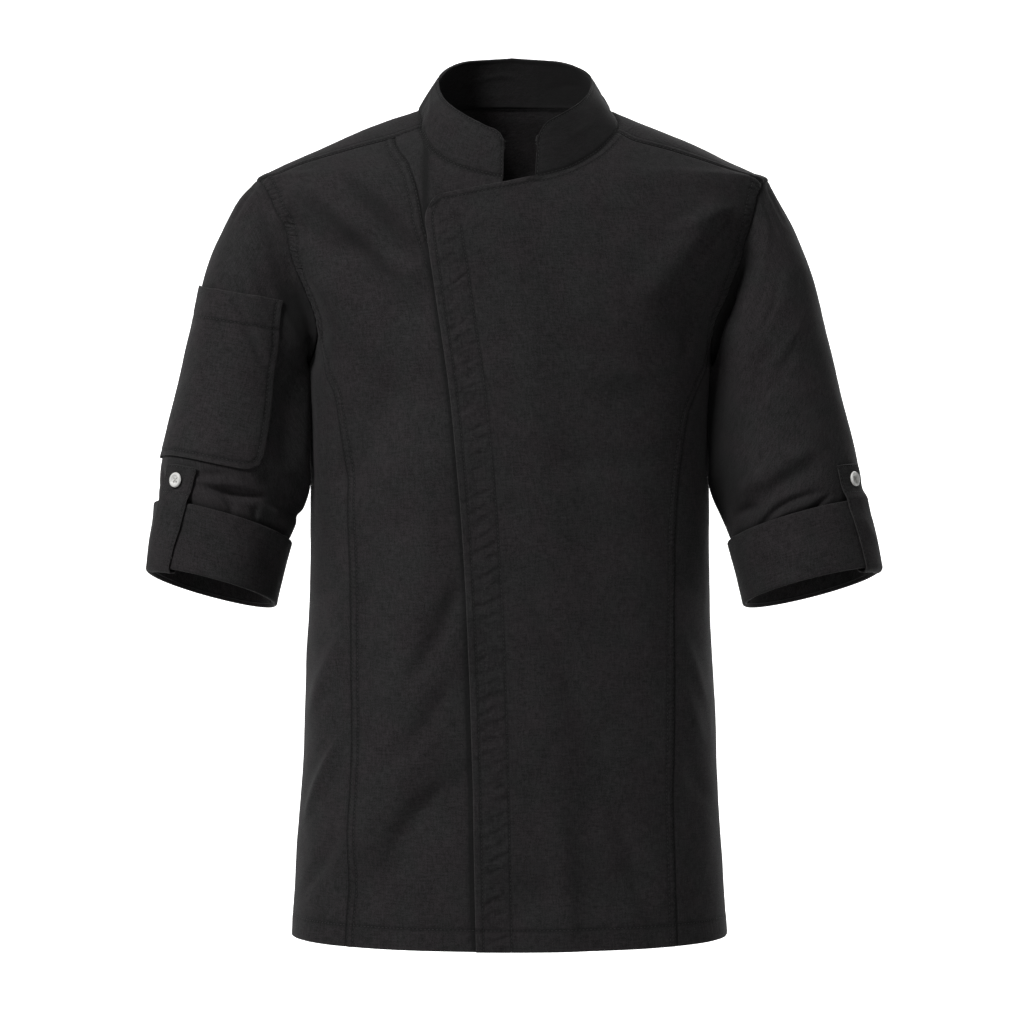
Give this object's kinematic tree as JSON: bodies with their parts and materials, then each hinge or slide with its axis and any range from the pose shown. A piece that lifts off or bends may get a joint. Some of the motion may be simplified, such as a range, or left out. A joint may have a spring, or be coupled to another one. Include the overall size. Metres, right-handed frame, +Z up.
{
  "type": "chef jacket",
  "caption": "Near-black chef jacket in its worn, hollow form: stand collar, slanted concealed closing, sleeves rolled to the elbow and held by buttoned tabs, pocket on one sleeve.",
  "frame": {"origin": "between the wearer's shoulders, level with the points where neck meets shoulder, on the vertical line through the middle of the neck opening", "axes": "+Z up along the wearer's back, -Y towards the front, the wearer's left at +X"},
  "size_m": [0.6526, 0.2579, 0.7958],
  "materials": {
    "twill": "near-black cotton twill, matte with a faint soft sheen on its folds",
    "button": "off-white moulded resin, softly polished"
  },
  "bodies": {
    "root": {"front_left_overlap": "twill", "front_right_under": "twill", "front_right_inset": "twill", "side_front_left": "twill", "side_front_right": "twill", "back": "twill", "yoke": "twill", "collar": "twill", "sleeve_left": "twill", "sleeve_right": "twill", "cuff_left": "twill", "cuff_right": "twill", "tab_left": "twill", "tab_right": "twill", "sleeve_pocket": "twill", "button_left": "button", "button_right": "button"}
  },
  "joints": []
}
